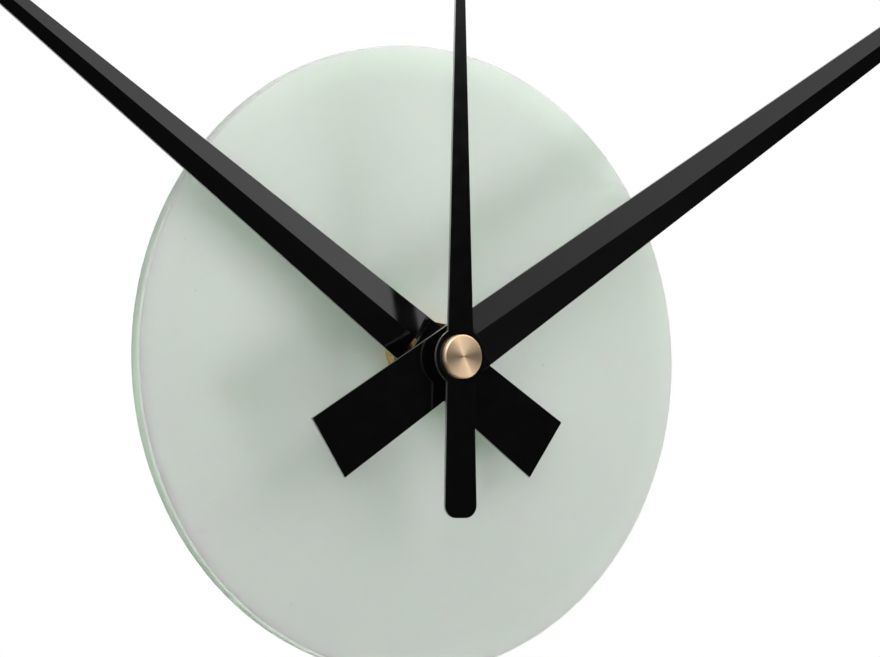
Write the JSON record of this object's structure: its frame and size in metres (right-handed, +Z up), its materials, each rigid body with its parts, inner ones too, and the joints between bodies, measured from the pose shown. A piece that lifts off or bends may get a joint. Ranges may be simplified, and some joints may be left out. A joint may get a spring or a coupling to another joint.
{
  "type": "frameless wall clock with oversize hands",
  "caption": "Frameless wall clock: small round pale green satin glass disc, long black hands on a centre shaft, copper cap, and a geared quartz movement behind the disc.",
  "frame": {"origin": "on the hand shaft, at the wall plane: the back face of the movement", "axes": "+Z up, +X to the right seen from the front, the clock faces -Y and hangs on the wall at y = 0"},
  "size_m": [0.2317, 0.0332, 0.1412],
  "materials": {
    "satin_glass": "satin, back-coated pale green",
    "hand_lacquer": "satin black lacquer on sheet aluminium",
    "copper": "circularly brushed rose copper",
    "brass": "turned brass",
    "rubber": "matte",
    "case_plastic": "moulded, fine texture",
    "frame_plastic": "moulded",
    "gear_plastic": "moulded",
    "steel": "rolled",
    "copper_wire": "enamelled wire",
    "board": "phenolic board",
    "potting": "epoxy",
    "battery_can": "plain printed wrap, no text",
    "contact_metal": "nickel-plated spring strip",
    "magnet": "bonded ferrite"
  },
  "bodies": {
    "clock_body": {"glass_disc": "satin_glass", "rubber_washer": "rubber", "brass_washer": "brass", "hex_nut": "brass", "threaded_bush": "brass", "front_case": "case_plastic", "back_cover": "case_plastic", "bearing_plate": "frame_plastic", "stator_plate": "steel", "coil_core": "steel", "coil_bobbin": "frame_plastic", "coil_winding": "copper_wire", "circuit_board": "board", "quartz_crystal": "steel", "chip_potting": "potting", "battery_cell": "battery_can", "positive_contact": "contact_metal", "negative_contact": "contact_metal"},
    "second_set": {"second_wheel": "gear_plastic", "second_hand": "hand_lacquer", "second_tube": "brass", "second_cap": "copper"},
    "rotor_set": {"rotor_pinion": "gear_plastic", "rotor_magnet": "magnet"},
    "intermediate_set": {"intermediate_wheel": "gear_plastic"},
    "third_set": {"third_wheel": "gear_plastic"},
    "centre_set": {"centre_wheel": "gear_plastic"},
    "minute_set": {"minute_arbor": "brass", "minute_collet": "brass", "minute_hand": "hand_lacquer"},
    "setting_set": {"setting_wheel": "gear_plastic", "setting_knob": "case_plastic"},
    "hour_set": {"hour_wheel": "gear_plastic", "hour_collet": "brass", "hour_hand": "hand_lacquer"}
  },
  "joints": [
    {"name": "second_hand_spin", "type": "hinge", "parent": "clock_body", "child": "second_set", "pos_m": [0, -0.008, 0], "axis": [0, 1, 0], "continuous": true},
    {"name": "rotor_spin", "type": "hinge", "parent": "clock_body", "child": "rotor_set", "pos_m": [0.01496, -0.008, 0.00688], "axis": [0, 1, 0], "continuous": true},
    {"name": "intermediate_spin", "type": "hinge", "parent": "clock_body", "child": "intermediate_set", "pos_m": [0.01046, -0.007, -0.00092], "axis": [0, 1, 0], "continuous": true},
    {"name": "third_spin", "type": "hinge", "parent": "clock_body", "child": "third_set", "pos_m": [-0.00909, -0.009, 0.00525], "axis": [0, 1, 0], "continuous": true},
    {"name": "centre_spin", "type": "hinge", "parent": "clock_body", "child": "centre_set", "pos_m": [0, -0.01, 0], "axis": [0, 1, 0], "continuous": true},
    {"name": "minute_hand_spin", "type": "hinge", "parent": "clock_body", "child": "minute_set", "pos_m": [0, -0.013, 0], "axis": [0, 1, 0], "continuous": true},
    {"name": "setting_spin", "type": "hinge", "parent": "clock_body", "child": "setting_set", "pos_m": [0.00208, -0.013, 0.01182], "axis": [0, 1, 0], "continuous": true},
    {"name": "hour_hand_spin", "type": "hinge", "parent": "clock_body", "child": "hour_set", "pos_m": [0, -0.0145, 0], "axis": [0, 1, 0], "continuous": true}
  ],
  "couplings": [
    {"joint": "intermediate_spin", "follows": "second_hand_spin", "ratio": -6},
    {"joint": "rotor_spin", "follows": "second_hand_spin", "ratio": 30},
    {"joint": "third_spin", "follows": "second_hand_spin", "ratio": -0.13333},
    {"joint": "centre_spin", "follows": "second_hand_spin", "ratio": 0.016667},
    {"joint": "setting_spin", "follows": "minute_hand_spin", "ratio": -0.33333},
    {"joint": "hour_hand_spin", "follows": "minute_hand_spin", "ratio": 0.083333}
  ]
}
